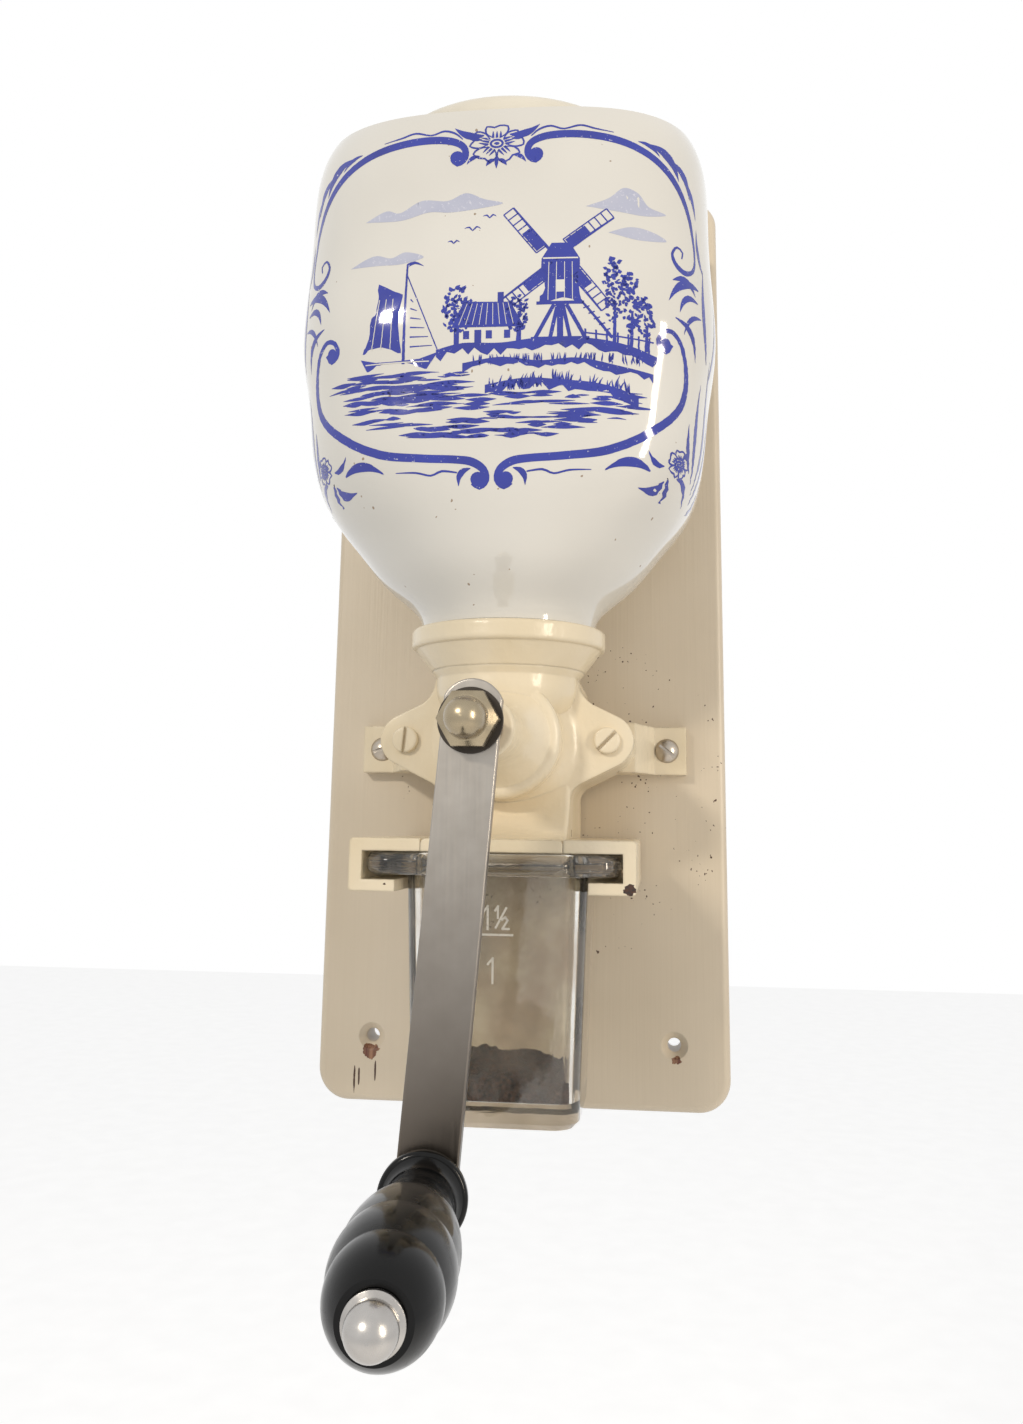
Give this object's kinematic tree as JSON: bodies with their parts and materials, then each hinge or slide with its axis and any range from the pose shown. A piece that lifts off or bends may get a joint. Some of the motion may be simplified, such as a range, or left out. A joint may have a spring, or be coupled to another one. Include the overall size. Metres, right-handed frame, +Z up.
{
  "type": "coffee mill",
  "caption": "Hand coffee mill on a wall board: china hopper with lid, cast body, hanging crank with turned grip, and a square glass cup in rails.",
  "frame": {"origin": "centre of the four wall screw holes, on the board's back face, where it meets the wall", "axes": "+X to the viewer's right, +Y into the wall, +Z up; the mill faces -Y"},
  "size_m": [0.125, 0.1973, 0.297],
  "materials": {
    "painted_board": "old brush-painted softwood, satin, chipped",
    "painted_casting": "old brush-painted cast iron, satin, chipped",
    "bearing_brass": "machined",
    "dark_steel": "dull, handled",
    "aged_sleeve": "browned with old oil",
    "aged_nut": "nickel plate worn to brass",
    "burr_iron": "hard grey iron",
    "spring_steel": "drawn wire",
    "brushed_arm": "brushed flat steel",
    "black_wood": "black gloss lacquer",
    "polished_steel": "polished",
    "screw_steel": "slotted, slightly rusted",
    "pressed_glass": "clear pressed glass",
    "glazed_china": "white glaze with blue underglaze print",
    "bedding_plaster": "dry plaster",
    "ivory_lid": "ivory gloss"
  },
  "bodies": {
    "base": {"back_board": "painted_board", "rear_casting": "painted_casting", "front_casting": "painted_casting", "hopper_collar": "painted_casting", "rear_bush": "bearing_brass", "front_bush": "bearing_brass", "burr_ring": "burr_iron", "burr_lock_screw": "dark_steel", "cover_screws": "painted_casting", "ear_screws": "screw_steel", "hopper": "glazed_china", "hopper_bedding": "bedding_plaster"},
    "crank": {"spindle": "dark_steel", "adjusting_sleeve": "aged_sleeve", "acorn_nut": "aged_nut", "nut_washer": "dark_steel", "burr_cone": "burr_iron", "burr_pin": "dark_steel", "feed_screw": "burr_iron", "pressure_spring": "spring_steel", "crank_arm": "brushed_arm", "grip_rod": "polished_steel", "grip_washer": "dark_steel", "grip_cap": "polished_steel"},
    "grip": {"grip": "black_wood"},
    "cup": {"glass_cup": "pressed_glass"},
    "lid": {"hopper_lid": "ivory_lid"}
  },
  "joints": [
    {"name": "crank_turn", "type": "hinge", "parent": "base", "child": "crank", "pos_m": [0, -0.1219, -0.04], "axis": [0, 1, 0], "continuous": true},
    {"name": "grip_spin", "type": "hinge", "parent": "crank", "child": "grip", "pos_m": [-0.00785, -0.1233, -0.13969], "axis": [0.075, -0.9972, 0], "continuous": true},
    {"name": "cup_slide", "type": "slide", "parent": "base", "child": "cup", "axis": [0, -1, 0], "range_m": [0, 0.029]},
    {"name": "lid_lift", "type": "slide", "parent": "base", "child": "lid", "axis": [0, 0, 1], "range_m": [0, 0.04]}
  ]
}
